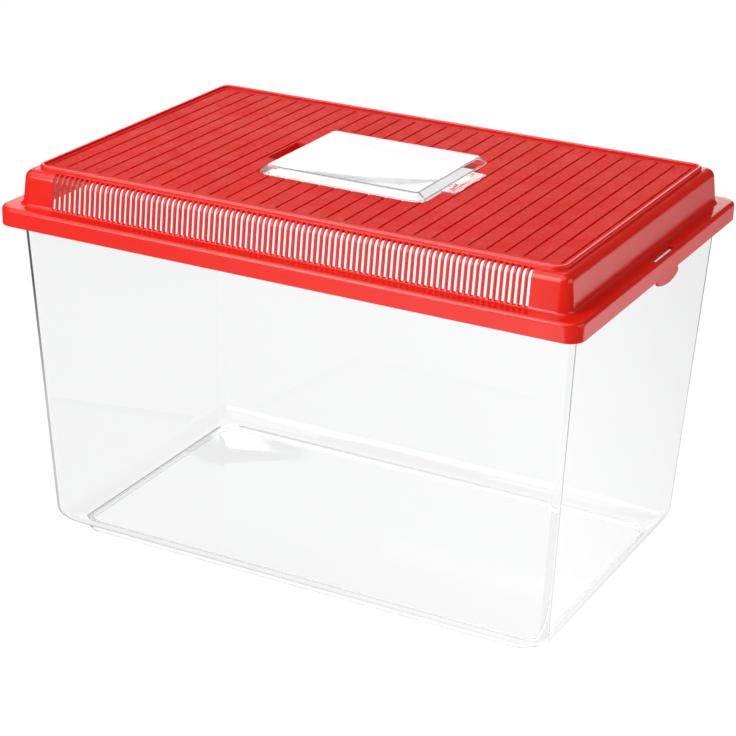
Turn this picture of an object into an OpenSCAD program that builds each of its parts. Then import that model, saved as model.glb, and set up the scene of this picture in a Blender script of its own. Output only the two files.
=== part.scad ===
// Ventilated keeper for small animals: a clear drafted tub, a red vented lid that drops over
// the tub's rim, and a clear feeding hatch that turns on two pins in the lid.
// Millimetres. Z is up and z = 0 is the table. X runs along the length, the front is -Y.

/* [Lid] */
// Length of the lid over its skirt
lid_w = 460; // [400:1:520]
// Depth of the lid over its skirt
lid_d = 306.6; // [280:0.2:360]
// Radius of the skirt's upright corners
lid_corner_r = 12; // [10:0.5:15]
// Height of the skirt that hangs over the tub's rim
skirt_h = 14; // [12:0.5:17]
// Wall thickness of the skirt
skirt_t = 2.2; // [1.8:0.1:2.6]
// Radius along the skirt's top edge
skirt_edge_r = 3; // [2.6:0.1:3.5]
// Width of the ledge between the skirt's face and the foot of the vented wall
ledge_w = 11.7; // [10:0.1:14]
// Wall thickness of the rest of the lid
shell_t = 2.2; // [1.8:0.1:2.5]

/* [Vented wall] */
// Height of the vented wall above the ledge
dome_h = 26.1; // [22:0.1:30]
// Draft of the vented wall in degrees
dome_draft = 6.5; // [3:0.5:7.5]
// Radius of the vented wall's upright corners
dome_corner_r = 9.5; // [9.5:0.5:12]
// Radius of the shoulder on top of the vented wall
shoulder_r = 6.5; // [3:0.25:6.5]
// Radius of the hollow between the vented wall and the ledge
foot_r = 2.5; // [1:0.25:3.5]
// Width of one vent slot
vent_w = 2.6; // [1.8:0.1:3]
// Distance between the middles of neighbouring slots
vent_pitch = 4.35; // [4.1:0.05:6]
// Height of the slots' lower ends above the ledge
vent_foot = 0.9; // [0.6:0.1:6]
// Plain panel left at each end of a row of slots
vent_end_panel = 30; // [20:1:60]

/* [Deck] */
// Width of the shoulder between the vented wall and the deck's rim
shoulder_w = 6.85; // [6.2:0.05:9]
// Height of the deck's rim above the shoulder
rim_h = 3; // [2.6:0.1:5]
// Thickness of the deck's rim
rim_t = 2.8; // [2:0.1:4]
// Radius of the rim's upright corners
rim_corner_r = 9; // [6:0.5:12]
// How far the deck lies below the top of its rim
deck_drop = 1.5; // [1:0.1:2]
// Distance between neighbouring grooves across the deck
groove_pitch = 13.45; // [9:0.05:20]
// Width of a groove
groove_w = 1.4; // [0.8:0.1:2.5]
// Depth of a groove
groove_depth = 0.8; // [0.4:0.1:1.1]
// Plain band between the rim and the ends of the grooves
groove_end_gap = 8; // [4:0.5:15]
// Smallest plain band between the rim and the first groove
groove_side_gap = 3; // [2:0.5:8]

/* [End clips] */
// Width of a clip tongue
clip_w = 38.7; // [30:0.1:60]
// How far a tongue's corners hang below the skirt
clip_drop = 3.2; // [2:0.1:5]
// How much lower the middle of a tongue's arched edge hangs
clip_sag = 2.8; // [1:0.1:4]
// How far a tongue leans outwards for the finger
clip_flare = 1.8; // [0.5:0.1:3]
// Distance of the clips behind the middle of the ends
clip_y = 6.1; // [-10:0.1:20]
// Radius between a tongue's sides and the skirt
clip_root_r = 2; // [1:0.25:2]
// Length of the window above a tongue
window_l = 35.6; // [20:0.1:45]
// Width of the window above a tongue
window_w = 4.2; // [2:0.1:5]

/* [Hatch] */
// Length of the hatch
hatch_w = 134.4; // [100:0.2:180]
// Depth of the hatch
hatch_d = 114.4; // [80:0.2:150]
// Height of the hatch from its lower edge to its top
hatch_h = 8.5; // [7.5:0.1:10]
// Radius of the hatch's corners
hatch_corner_r = 8.5; // [7:0.25:10]
// Wall thickness of the hatch
hatch_t = 1.8; // [1.4:0.1:2.2]
// Height of the hatch's upright edge below its sloping sides
hatch_edge_h = 3.9; // [3.6:0.1:4.5]
// Width of the hatch's sloping sides
hatch_slope_w = 5.8; // [4:0.1:6]
// Gap between the hatch and the wall of its recess
hatch_gap = 1.8; // [1:0.1:2.5]
// Depth of the seat below the deck
seat_depth = 3.8; // [3.6:0.1:5]
// Width of the seat under the hatch's edge
seat_w = 4.5; // [4:0.1:7]
// Distance of the hinge pins from the hatch's left face
hinge_inset = 8; // [7.6:0.1:10]
// Height of the hinge pins above the hatch's lower edge
hinge_rise = 1.7; // [1.6:0.1:1.9]
// Radius of a hinge pin
pin_r = 1.2; // [1:0.05:1.3]
// How far a hinge pin enters its socket
pin_bite = 1.6; // [1.2:0.1:2.5]

/* [Latch] */
// Width of the latch tab
tab_w = 52; // [50:1:70]
// Reach of the latch tab beyond the hatch's face
tab_reach = 11.7; // [9:0.1:14]
// Thickness of the latch tab
tab_t = 1.6; // [1.2:0.1:2]
// How far the latch tab's top stands above the deck
tab_rise = 0.2; // [0.1:0.1:0.5]
// Length of each of the two slots that make the latch tab springy
spring_l = 9; // [5:0.5:10]
// Width of those slots
spring_w = 3; // [2:0.1:3.5]
// Distance between the middles of those slots
spring_gap = 28.4; // [20:0.2:30]
// Distance of the pair of slots behind the middle of the tab
spring_y = 4.6; // [-5:0.1:5]
// Width of the finger notch beside the recess
notch_w = 44.4; // [30:0.2:46]
// Reach of the finger notch beyond the recess
notch_reach = 9; // [6:0.2:12]
// Depth of the finger notch and of the latch's notch below the deck
notch_depth = 5.5; // [5:0.1:7]
// Length of the catch rib under the latch tab
catch_l = 34; // [20:1:38]
// Thickness of the catch rib
catch_t = 1.6; // [1:0.1:2]

/* [Tub] */
// Height of the tub to the top of its rim
tub_h = 268; // [200:1:320]
// Distance from the lid's end face to the tub's end wall
tub_end_inset = 9.6; // [8:0.1:12]
// Distance from the lid's front face to the tub's front wall
tub_side_inset = 17.6; // [10:0.1:20]
// Draft of the tub's walls in degrees
tub_draft = 2.85; // [1.5:0.05:4]
// Wall thickness of the tub
tub_t = 2.4; // [1.8:0.1:3]
// Radius of the tub's upright edges
tub_edge_r = 5; // [4:0.5:8]
// Radius between the tub's walls and its base
base_r = 16; // [10:1:18]
// Thickness of the tub's floor
floor_t = 2.8; // [2:0.1:4]
// Height of the foot ring under the base
foot_h = 4.5; // [3:0.1:6]
// Distance of the foot ring inside the outline of the tub's base
foot_inset = 12.6; // [10:0.1:20]
// Width of the foot ring
foot_t = 3; // [2.4:0.1:5]
// Radius of the foot ring's corners
foot_corner_r = 19; // [10:1:30]
// Thickness of the tub's rim
brim_t = 2.2; // [1.8:0.1:2.6]
// How far the brim's edge turns down
brim_drop = 4; // [2.5:0.5:5]

/* [Fits] */
// Gap between the tub's rim and the lid that rests on it
lid_seat_gap = 0.2; // [0.1:0.05:0.4]
// Gap all round between the tub's rim and the lid's skirt
brim_gap = 1; // [0.8:0.1:1.5]
// Gap between the ridge on a clip and the tub's rim
ridge_gap = 0.3; // [0.2:0.05:0.5]
// Gap between the seat and the hatch's lower edge
hatch_seat_gap = 0.3; // [0.2:0.05:0.4]
// Radial clearance of the hinge pins in their sockets
pin_clear = 0.08; // [0.04:0.01:0.1]
// Gap between the latch tab and the walls of its notch
tab_gap = 0.5; // [0.3:0.05:0.6]

/* [Hidden] */
$fn = 64;
EPS = 0.01;

// levels of the lid
ledge_z = tub_h + lid_seat_gap + shell_t;
skirt_z = ledge_z - skirt_h;
shoulder_z = ledge_z + dome_h;
rim_z = shoulder_z + rim_h;
deck_z = rim_z - deck_drop;
seat_z = deck_z - seat_depth;
well_z = seat_z - shell_t;
notch_z = deck_z - notch_depth;

// outlines of the lid, from the skirt inwards
dome_w = lid_w - 2 * ledge_w;
dome_d = lid_d - 2 * ledge_w;
rim_inset = dome_h * tan(dome_draft) + shoulder_w;
rim_w = dome_w - 2 * rim_inset;
rim_d = dome_d - 2 * rim_inset;
deck_w = rim_w - 2 * rim_t;
deck_d = rim_d - 2 * rim_t;
rim_edge_r = 1.2;
lap = 1;

// vent slots in one row
vent_side = floor((dome_w / 2 - vent_end_panel) / vent_pitch);
vent_relief = 1.2;

// grooves to each side of the middle one
groove_side = floor((deck_w / 2 - groove_side_gap) / groove_pitch);
groove_l = deck_d - 2 * groove_end_gap;

// hatch, its recess and its hinge
hatch_z = seat_z + hatch_seat_gap;
hatch_top_z = hatch_z + hatch_h;
recess_w = hatch_w + 2 * hatch_gap;
recess_d = hatch_d + 2 * hatch_gap;
recess_r = hatch_corner_r + hatch_gap;
hinge_x = hinge_inset - hatch_w / 2;
hinge_z = hatch_z + hinge_rise;
pin_l = hatch_t + hatch_gap + pin_bite;
socket_depth = pin_bite + 0.6;
socket_wall = 2;
socket_half_w = 3.5;
tail_gap = 4;
tab_z = deck_z + tab_rise - tab_t;
catch_drop = 2.4;
latch_reach = hatch_w / 2 + tab_reach + tab_gap - recess_w / 2;

// notches beside the recess: side, reach beyond the recess and width
notches = [[-1, notch_reach, notch_w], [1, latch_reach, tab_w + 2 * tab_gap]];

// end clips
lean_root = 2;
ridge_h = 2;
ridge_reach = brim_gap - ridge_gap;

// tub
brim_w = lid_w - 2 * (skirt_t + brim_gap);
brim_d = lid_d - 2 * (skirt_t + brim_gap);
brim_r = lid_corner_r - skirt_t - brim_gap;
wall_h = tub_h - foot_h;
base_w = lid_w - 2 * tub_end_inset - 2 * wall_h * tan(tub_draft);
base_d = lid_d - 2 * tub_side_inset - 2 * wall_h * tan(tub_draft);
base_corner_growth = 0.8;
fillet_step = 15;

// A rectangle about the origin with true round corners.
module round_rect(w, d, r) {
    square([w - 2 * r, d], center = true);
    square([w, d - 2 * r], center = true);
    for (x = [-1, 1], y = [-1, 1])
        translate([x * (w / 2 - r), y * (d / 2 - r)]) circle(r);
}

// A plate with round corners, its lower face at z.
module plate(w, d, r, z, h) {
    translate([0, 0, z]) linear_extrude(h) round_rect(w, d, r);
}

// One straight side of a swept edge: the profile's x runs inwards and its y runs up.
module straight_side(length, offset_y) {
    translate([-length / 2, -offset_y, 0]) rotate([90, 0, 90]) linear_extrude(length) children();
}

// Sweeps a profile round a w by d outline with corner radius r.
module edge_sweep(w, d, r) {
    for (turn = [0, 180]) {
        rotate(turn) straight_side(w - 2 * r, d / 2) children();
        rotate(turn + 90) straight_side(d - 2 * r, w / 2) children();
    }
    for (x = [-1, 1], y = [-1, 1])
        translate([x * (w / 2 - r), y * (d / 2 - r), 0])
            rotate(x > 0 ? (y > 0 ? 0 : 270) : (y > 0 ? 90 : 180))
                rotate_extrude(angle = 90) translate([r, 0]) mirror([1, 0]) children();
}

// Half outline of a wall from z0 up to a rounded shoulder at z1, set in by t from its face.
module shoulder_fill(z0, z1, draft, r, reach, t) {
    cx = r / cos(draft) + (z1 - r - z0) * tan(draft);
    cz = z1 - r;
    rr = r - t;
    polygon([
        [t / cos(draft), z0], [cx - rr * cos(draft), cz + rr * sin(draft)], [cx, cz],
        [cx, cz + rr], [reach, cz + rr], [reach, z0]
    ]);
    intersection() {
        translate([cx, cz]) circle(rr);
        translate([cx - rr, cz]) square(rr);
    }
}

// Half outline of the hollow of radius r between the ledge at z1 and a wall that leans from z0.
module foot_fill(z0, z1, draft, r) {
    cx = ((z1 + r - z0) * sin(draft) - r) / cos(draft);
    difference() {
        polygon([
            [cx, z1 - lap], [lap, z1 - lap], [cx + r * cos(draft) + lap, z1 + r * (1 - sin(draft))],
            [cx + r * cos(draft), z1 + r * (1 - sin(draft))], [cx, z1 + r]
        ]);
        translate([cx, z1 + r]) circle(r);
    }
}

// The wall itself: the fill less the same fill set in by the wall's thickness.
module shoulder_wall(z0, z1, draft, r, reach, t) {
    difference() {
        shoulder_fill(z0, z1, draft, r, reach, 0);
        shoulder_fill(z0 - EPS, z1, draft, r, reach + EPS, t);
    }
}

// ---------------------------------------------------------------- tub

// One level of the tub's body, set in by t, at height z above the foot ring.
module tub_level(z, t, r_base) {
    dip = r_base - min(z, r_base);
    fillet_inset = r_base - sqrt(r_base * r_base - dip * dip);
    flare = 2 * z * tan(tub_draft) - 2 * t - 2 * fillet_inset;
    r = tub_edge_r - t / 2 + base_corner_growth * fillet_inset;
    plate(base_w + flare, base_d + flare, r, foot_h + z + (t > 0 ? floor_t : 0), EPS);
}

// The drafted body with its round base; t sets the cavity in from the outside.
module tub_body(t, top) {
    r_base = base_r - t;
    hull() {
        for (a = [0 : fillet_step : 90])
            tub_level(r_base * (1 - cos(a)), t, r_base, $fn = 32);
        tub_level(top, t, r_base, $fn = 32);
    }
}

module tub() {
    color([0.93, 0.96, 0.97, 0.35])
        difference() {
            union() {
                tub_body(0, wall_h - EPS);
                plate(brim_w, brim_d, brim_r, tub_h - brim_t, brim_t);
                difference() {
                    plate(brim_w, brim_d, brim_r, tub_h - brim_t - brim_drop, brim_drop + EPS);
                    plate(brim_w - 2 * brim_t, brim_d - 2 * brim_t, brim_r - brim_t,
                          tub_h - brim_t - brim_drop - EPS, brim_drop + EPS);
                }
                foot_ring();
            }
            tub_body(tub_t, wall_h + lap);
        }
}

// The ring that the tub stands on.
module foot_ring() {
    w = base_w - 2 * foot_inset;
    d = base_d - 2 * foot_inset;
    difference() {
        plate(w, d, foot_corner_r, 0, foot_h + lap);
        plate(w - 2 * foot_t, d - 2 * foot_t, foot_corner_r - foot_t, -EPS, foot_h + lap);
    }
}

// ---------------------------------------------------------------- lid

// The skirt and the ledge that rests on the tub's rim.
module skirt() {
    inner_r = dome_corner_r - shell_t;
    edge_sweep(lid_w, lid_d, lid_corner_r)
        shoulder_wall(skirt_z, ledge_z, 0, skirt_edge_r, lid_corner_r, skirt_t);
    difference() {
        plate(lid_w - 2 * skirt_edge_r, lid_d - 2 * skirt_edge_r, lid_corner_r - skirt_edge_r,
              ledge_z - shell_t, shell_t);
        plate(dome_w - 2 * shell_t, dome_d - 2 * shell_t, inner_r, ledge_z - shell_t - EPS, 2 * shell_t);
    }
}

// The sloping wall with its rounded shoulder, and the flat that carries the deck's rim.
module dome() {
    flat_inset = dome_corner_r - lap;
    edge_sweep(dome_w, dome_d, dome_corner_r) {
        shoulder_wall(ledge_z - shell_t, shoulder_z, dome_draft, shoulder_r, dome_corner_r, shell_t);
        foot_fill(ledge_z - shell_t, ledge_z, dome_draft, foot_r);
    }
    difference() {
        plate(dome_w - 2 * flat_inset, dome_d - 2 * flat_inset, lap, shoulder_z - shell_t, shell_t);
        plate(deck_w, deck_d, rim_corner_r - rim_t, shoulder_z - shell_t - EPS, 2 * shell_t);
    }
}

// One row of vent slots, cut through the front wall and over its shoulder.
module vent_row() {
    foot_z = ledge_z + vent_foot;
    run = dome_d / 2 + foot_r - rim_d / 2 - vent_relief;
    for (n = [-vent_side : vent_side])
        translate([n * vent_pitch - vent_w / 2, -dome_d / 2 - foot_r, foot_z])
            cube([vent_w, run, shoulder_z - foot_z + lap]);
}

// The raised rim round the deck.
module rim() {
    edge_sweep(rim_w, rim_d, rim_corner_r)
        difference() {
            shoulder_fill(shoulder_z - shell_t, rim_z, 0, rim_edge_r, rim_t, 0);
            translate([rim_t, shoulder_z - shell_t - EPS]) square([rim_corner_r, 2 * rim_h + shell_t]);
        }
}

// The deck with its grooves.
module deck() {
    difference() {
        plate(deck_w + rim_t, deck_d + rim_t, rim_corner_r - rim_t / 2, deck_z - shell_t, shell_t);
        for (n = [-groove_side : groove_side])
            translate([n * groove_pitch - groove_w / 2, -groove_l / 2, deck_z - groove_depth])
                cube([groove_w, groove_l, groove_depth + lap]);
    }
}

// The tray under the deck that holds the hatch, with the two notches and the two sockets.
module well() {
    plate(recess_w + 2 * shell_t, recess_d + 2 * shell_t, recess_r + shell_t,
          well_z, deck_z - well_z - lap);
    for (n = notches)
        translate([n[0] * (recess_w + n[1]) / 2, 0, (notch_z - shell_t + deck_z - lap) / 2])
            cube([n[1] + 2 * shell_t, n[2] + 2 * shell_t, deck_z - lap - notch_z + shell_t],
                 center = true);
    for (y = [-1, 1])
        translate([hinge_x, y * (recess_d + socket_depth + socket_wall) / 2, (well_z + deck_z - lap) / 2])
            cube([2 * socket_half_w, socket_depth + socket_wall, deck_z - lap - well_z], center = true);
}

// Everything that is cut out for the hatch: recess, feeding opening, notches and sockets.
module hatch_cuts() {
    seat_x0 = hinge_x + tail_gap;
    seat_x1 = recess_w / 2 - seat_w;
    below_z = notch_z - 2 * shell_t;
    deep = deck_z + lap - below_z;
    plate(recess_w, recess_d, recess_r, seat_z, seat_depth + lap);
    translate([(seat_x1 - recess_w / 2) / 2, 0, 0])
        plate(seat_x1 + recess_w / 2, recess_d - 2 * seat_w, recess_r - seat_w, below_z, deep);
    intersection() {
        plate(recess_w, recess_d, recess_r, below_z, deep);
        translate([-recess_w / 2, -recess_d / 2, below_z]) cube([seat_x0 + recess_w / 2, recess_d, deep]);
    }
    for (n = notches)
        translate([n[0] * (recess_w + n[1]) / 2, 0, notch_z + (seat_depth + notch_depth) / 2])
            cube([n[1], n[2], seat_depth + notch_depth], center = true);
    for (y = [-1, 1])
        translate([hinge_x, y * (recess_d / 2 - lap), hinge_z])
            rotate([-90 * y, 0, 0]) cylinder(r = pin_r + pin_clear, h = lap + socket_depth);
}

// Outline of a clip tongue as seen from the end: an arched edge, and fillets into the skirt.
module tongue_outline() {
    arch_r = (clip_w * clip_w / 4 + clip_sag * clip_sag) / (2 * clip_sag);
    corner_z = skirt_z - clip_drop;
    translate([-clip_w / 2, corner_z]) square([clip_w, clip_drop + lean_root]);
    intersection() {
        translate([0, corner_z - clip_sag + arch_r]) circle(arch_r, $fn = 256);
        translate([-clip_w / 2, corner_z - clip_sag]) square([clip_w, clip_sag + EPS]);
    }
    for (side = [0, 1])
        mirror([side, 0]) translate([clip_w / 2 - EPS, skirt_z - clip_root_r]) difference() {
            square(clip_root_r + EPS);
            translate([clip_root_r + EPS, 0]) circle(clip_root_r);
        }
}

// The leaning tongue of the clip at the +X end, with the ridge inside it.
module clip_solid() {
    face_x = lid_w / 2;
    root_z = skirt_z + lean_root;
    tip_z = skirt_z - clip_drop - clip_sag;
    translate([0, clip_y, 0]) intersection() {
        translate([face_x - lid_corner_r, 0, 0])
            rotate([90, 0, 90]) linear_extrude(lid_corner_r + clip_flare + lap) tongue_outline();
        translate([0, clip_w, 0]) rotate([90, 0, 0]) linear_extrude(2 * clip_w) polygon([
            [face_x - skirt_t, root_z], [face_x, root_z],
            [face_x + clip_flare, tip_z], [face_x + clip_flare - skirt_t, tip_z]
        ]);
    }
    translate([face_x - skirt_t - ridge_reach, clip_y - window_l / 2, skirt_z])
        cube([ridge_reach + lap, window_l, ridge_h]);
}

module clip_window() {
    translate([lid_w / 2 - skirt_t - window_w, clip_y - window_l / 2, ledge_z - shell_t - lap])
        cube([window_w, window_l, shell_t + 2 * lap]);
}

module lid() {
    color([0.86, 0.10, 0.07])
        difference() {
            union() {
                skirt();
                difference() {
                    dome();
                    vent_row();
                    rotate(180) vent_row();
                }
                rim();
                deck();
                well();
                clip_solid();
                mirror([1, 0, 0]) clip_solid();
            }
            hatch_cuts();
            clip_window();
            mirror([1, 0, 0]) clip_window();
        }
}

// ---------------------------------------------------------------- hatch

// Section of the hatch's side: an upright edge, then a slope up to the flat top.
module hatch_profile() {
    rise = hatch_h - hatch_edge_h;
    lean = atan2(hatch_slope_w, rise);
    edge_in = hatch_edge_h - hatch_t * tan(lean / 2);
    slope_in = hatch_slope_w + hatch_t * tan((90 - lean) / 2);
    translate([0, hatch_z])
        polygon([
            [0, 0], [0, hatch_edge_h], [hatch_slope_w, hatch_h], [hatch_corner_r, hatch_h],
            [hatch_corner_r, hatch_h - hatch_t], [min(slope_in, hatch_corner_r - EPS), hatch_h - hatch_t],
            [hatch_t, edge_in], [hatch_t, 0]
        ]);
}

// The flap that a finger lifts, with the rib that snaps into the right-hand notch.
module latch_tab() {
    root = hatch_w / 2 - hatch_t;
    rib_x = hatch_w / 2 + 0.6 * tab_reach;
    rib_z = tab_z - catch_drop;
    difference() {
        translate([root, -tab_w / 2, tab_z]) cube([hatch_t + tab_reach, tab_w, tab_t]);
        for (side = [-1, 1])
            translate([hatch_w / 2 + lap, spring_y + side * spring_gap / 2 - spring_l / 2, tab_z - lap])
                cube([spring_w, spring_l, tab_t + 2 * lap]);
    }
    translate([rib_x - catch_t / 2, -catch_l / 2, rib_z]) cube([catch_t, catch_l, tab_z - rib_z + EPS]);
}

module hatch() {
    flat_inset = hatch_corner_r - lap / 2;
    color([0.95, 0.97, 0.98, 0.45]) {
        edge_sweep(hatch_w, hatch_d, hatch_corner_r) hatch_profile();
        plate(hatch_w - 2 * flat_inset, hatch_d - 2 * flat_inset, lap / 2, hatch_top_z - hatch_t, hatch_t);
        latch_tab();
        for (y = [-1, 1])
            translate([hinge_x, y * (hatch_d / 2 - hatch_t), hinge_z])
                rotate([-90 * y, 0, 0]) cylinder(r = pin_r, h = pin_l);
    }
}

tub();
lid();
hatch();
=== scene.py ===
"""Looks of a plastic pet keeper: a clear tub, a red vented lid and a clear feeding hatch.

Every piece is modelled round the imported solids, in metres, in their frame: +X runs along the
length, the front is -Y and the floor is at z = 0. Sizes in the classes are in millimetres.
"""

import logging
import math
from collections.abc import Iterable, Sequence
from dataclasses import dataclass, field
from enum import Enum

import bmesh
import bpy
from mathutils import Matrix, Vector


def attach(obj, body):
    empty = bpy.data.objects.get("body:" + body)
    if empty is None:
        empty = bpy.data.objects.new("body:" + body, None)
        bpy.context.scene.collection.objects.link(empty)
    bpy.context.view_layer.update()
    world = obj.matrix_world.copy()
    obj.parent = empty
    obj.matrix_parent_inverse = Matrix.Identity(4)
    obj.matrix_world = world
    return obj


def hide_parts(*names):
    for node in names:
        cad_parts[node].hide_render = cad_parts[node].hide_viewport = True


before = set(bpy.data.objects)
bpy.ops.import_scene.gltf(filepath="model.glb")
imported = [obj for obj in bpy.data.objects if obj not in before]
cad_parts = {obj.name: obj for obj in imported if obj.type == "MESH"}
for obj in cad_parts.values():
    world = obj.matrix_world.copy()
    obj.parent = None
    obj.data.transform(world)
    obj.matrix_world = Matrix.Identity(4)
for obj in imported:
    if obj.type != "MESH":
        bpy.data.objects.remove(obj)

MM = 0.001
LOG = logging.getLogger("pet_keeper")

# Slack when places are compared: along a ring, in millimetres, and between points, in metres.
MARK_SLACK = 1e-6
POINT_SLACK = 1e-6
HEIGHT_SLACK = 1e-5

# Smallest radius of a moulding's upright corners, in millimetres.
LEAST_RADIUS = 0.05

# How far a joined or carving solid passes the surface that it meets, in millimetres.
OVERLAP = 1.0

# Segments of a round bar.
BAR_SEGMENTS = 32

# The part of its range in which a noise texture mostly stays.
NOISE_LOW, NOISE_HIGH = 0.3, 0.7

# X and Z of the hatch's hinge, in millimetres.
HINGE_AXIS = (-59.2, 296.2)

Colour = tuple[float, float, float]


class Side(Enum):
    """The four straight sides of a moulding, in the order in which a ring of points runs."""

    FRONT = 0
    RIGHT = 1
    BACK = 2
    LEFT = 3


class Cut(Enum):
    """How one solid changes another that it meets."""

    JOIN = "UNION"
    CARVE = "DIFFERENCE"


# ------------------------------------------------------------------ profiles and sweeps


@dataclass(frozen=True)
class Corner:
    """A corner of a wall's cross-section.

    Attributes:
        inset: Distance inwards from the moulding's outline.
        height: Height above the floor.
        radius: Radius of the outline's upright corners at this place.
        fillet: Radius that rounds the corner of the section, or 0 for a plain point.
        steps: Segments of that rounding.
        growth: How much the upright corners' radius grows per unit of inset.
    """

    inset: float
    height: float
    radius: float
    fillet: float = 0.0
    steps: int = 3
    growth: float = -1.0

    def at(self, inset: float, height: float) -> "Level":
        """A level beside this corner, with the upright corners' radius that belongs there."""
        return Level(inset, height, max(LEAST_RADIUS, self.radius + self.growth * (inset - self.inset)))


@dataclass(frozen=True)
class Level:
    """One ring of a sweep.

    Attributes:
        inset: Distance inwards from the moulding's outline.
        height: Height above the floor.
        radius: Radius of the ring's corners.
    """

    inset: float
    height: float
    radius: float


def section(corners: Sequence[Corner], closed: bool) -> list[Level]:
    """Turns the corners of a cross-section into rings, with an arc at each rounded corner.

    Args:
        corners: The section's corners in order.
        closed: True if the last corner joins the first.

    Returns:
        The rings, in the same order.
    """
    levels: list[Level] = []
    count = len(corners)
    for number, corner in enumerate(corners):
        ends = not closed and number in (0, count - 1)
        if corner.fillet <= 0 or ends:
            levels.append(Level(corner.inset, corner.height, corner.radius))
            continue
        here = Vector((corner.inset, corner.height))
        before, after = corners[number - 1], corners[(number + 1) % count]
        back = (Vector((before.inset, before.height)) - here).normalized()
        ahead = (Vector((after.inset, after.height)) - here).normalized()
        half = math.acos(max(-1.0, min(1.0, back.dot(ahead)))) / 2
        reach = corner.fillet / math.tan(half)
        middle = here + (back + ahead).normalized() * corner.fillet / math.sin(half)
        first, last = here + back * reach - middle, here + ahead * reach - middle
        sweep = first.angle_signed(last)
        for step in range(corner.steps + 1):
            arm = first.copy()
            arm.rotate(Matrix.Rotation(-sweep * step / corner.steps, 2))
            levels.append(corner.at(*(middle + arm)))
    return levels


@dataclass(frozen=True)
class Outline:
    """A rounded rectangle about the Z axis, and the points at which its ring is divided.

    Attributes:
        width: Length along X.
        depth: Length along Y.
        corner_steps: Segments of each upright corner.
        marks: For a side, the extra coordinates along it at which the ring has a point.
    """

    width: float
    depth: float
    corner_steps: int = 8
    marks: dict[Side, tuple[float, ...]] = field(default_factory=dict)

    def stations(self) -> list[tuple[Side, float, bool]]:
        """Divides the ring into its points.

        Returns:
            The points in order, each as a side, a mark or an angle, and True if it is on a corner.
        """
        ring: list[tuple[Side, float, bool]] = []
        for side in Side:
            along = sorted(self.marks.get(side, ()), reverse=side in (Side.BACK, Side.LEFT))
            ring += [(side, mark, False) for mark in along]
            start = math.radians(-90 + 90 * side.value)
            turn = math.radians(90) / self.corner_steps
            ring += [(side, start + turn * n, True) for n in range(self.corner_steps + 1)]
        return ring

    def place(self, station: tuple[Side, float, bool], level: Level) -> Vector:
        """Where a station lies at a level.

        Args:
            station: An entry of stations().
            level: The ring's inset, height and corner radius.

        Returns:
            The point, in metres.
        """
        side, value, on_corner = station
        half_w, half_d = self.width / 2 - level.inset, self.depth / 2 - level.inset
        if on_corner:
            sign_x = 1 if side in (Side.FRONT, Side.RIGHT) else -1
            sign_y = 1 if side in (Side.RIGHT, Side.BACK) else -1
            x = sign_x * (half_w - level.radius) + level.radius * math.cos(value)
            y = sign_y * (half_d - level.radius) + level.radius * math.sin(value)
        elif side in (Side.FRONT, Side.BACK):
            x, y = value, half_d if side is Side.BACK else -half_d
        else:
            x, y = half_w if side is Side.RIGHT else -half_w, value
        return Vector((x, y, level.height)) * MM


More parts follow.
